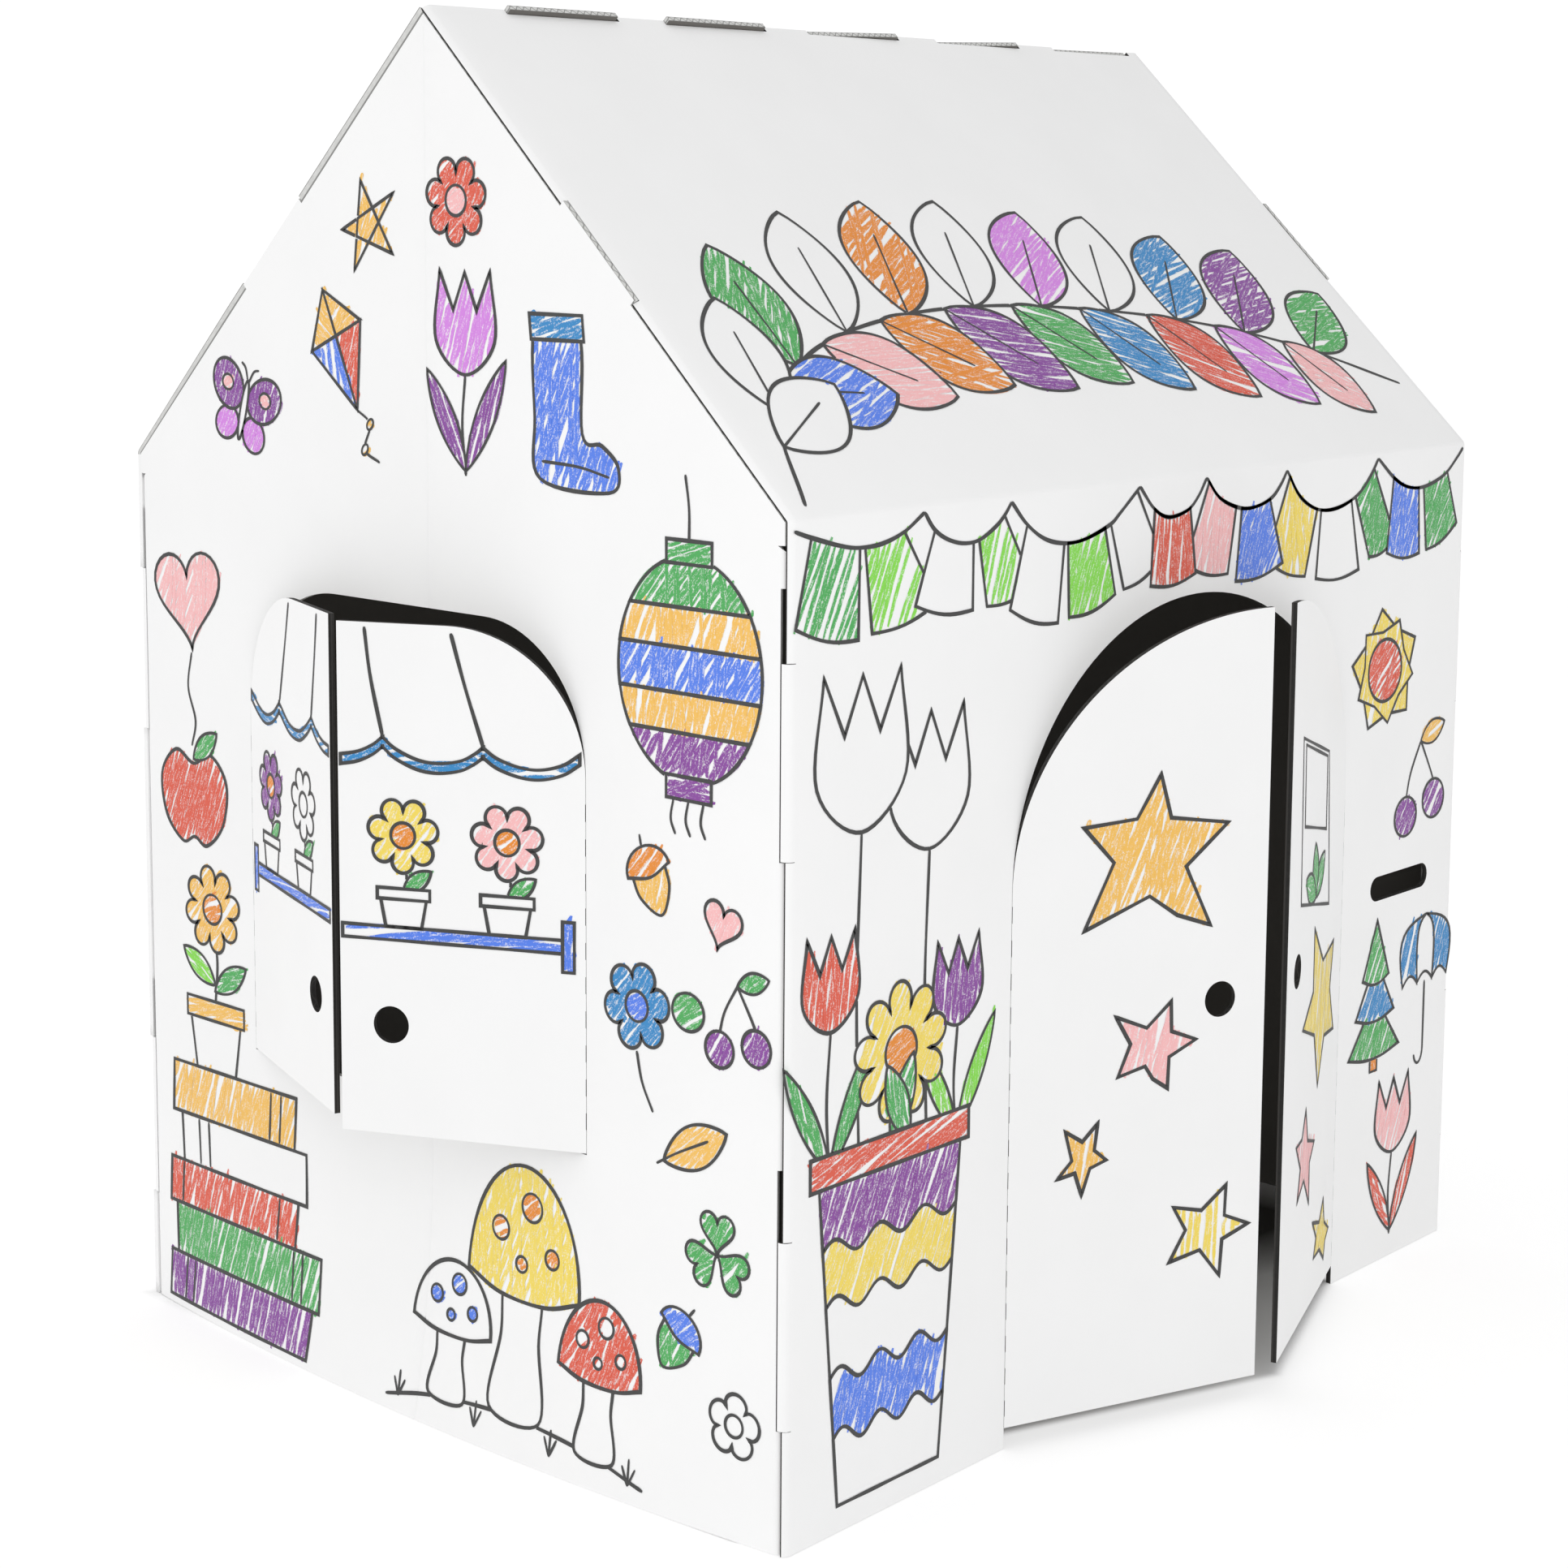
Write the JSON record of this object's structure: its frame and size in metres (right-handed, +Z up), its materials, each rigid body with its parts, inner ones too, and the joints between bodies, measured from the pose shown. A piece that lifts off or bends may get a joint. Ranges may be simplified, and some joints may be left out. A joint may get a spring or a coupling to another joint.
{
  "type": "cardboard playhouse",
  "caption": "Child-size house of folded white corrugated card with a pitched roof, an arched double door, a shuttered window and a mail slot",
  "frame": {"origin": "middle of the back wall's foot, on the floor", "axes": "+Z up, doors towards -Y, ridge along X, window towards -X"},
  "size_m": [1.0835, 0.8972, 1.1905],
  "materials": {
    "white_card": "matte white-lined corrugated card"
  },
  "bodies": {
    "house": {"front_sheet": "white_card", "back_sheet": "white_card", "window_gable": "white_card", "plain_gable": "white_card"},
    "left_door": {"left_door": "white_card"},
    "right_door": {"right_door": "white_card"},
    "left_shutter": {"left_shutter": "white_card"},
    "right_shutter": {"right_shutter": "white_card"}
  },
  "joints": [
    {"name": "left_door_hinge", "type": "hinge", "parent": "house", "child": "left_door", "pos_m": [-0.223, -0.8035, 0.24], "axis": [0, 0, -1], "range_deg": [-21, 144]},
    {"name": "right_door_hinge", "type": "hinge", "parent": "house", "child": "right_door", "pos_m": [0.287, -0.8035, 0.24], "axis": [0, 0, 1], "range_deg": [-21, 144]},
    {"name": "left_shutter_hinge", "type": "hinge", "parent": "house", "child": "left_shutter", "pos_m": [-0.495, -0.1595, 0.4], "axis": [0, 0, -1], "range_deg": [-20, 145]},
    {"name": "right_shutter_hinge", "type": "hinge", "parent": "house", "child": "right_shutter", "pos_m": [-0.495, -0.5875, 0.4], "axis": [0, 0, 1], "range_deg": [-26, 139]}
  ]
}
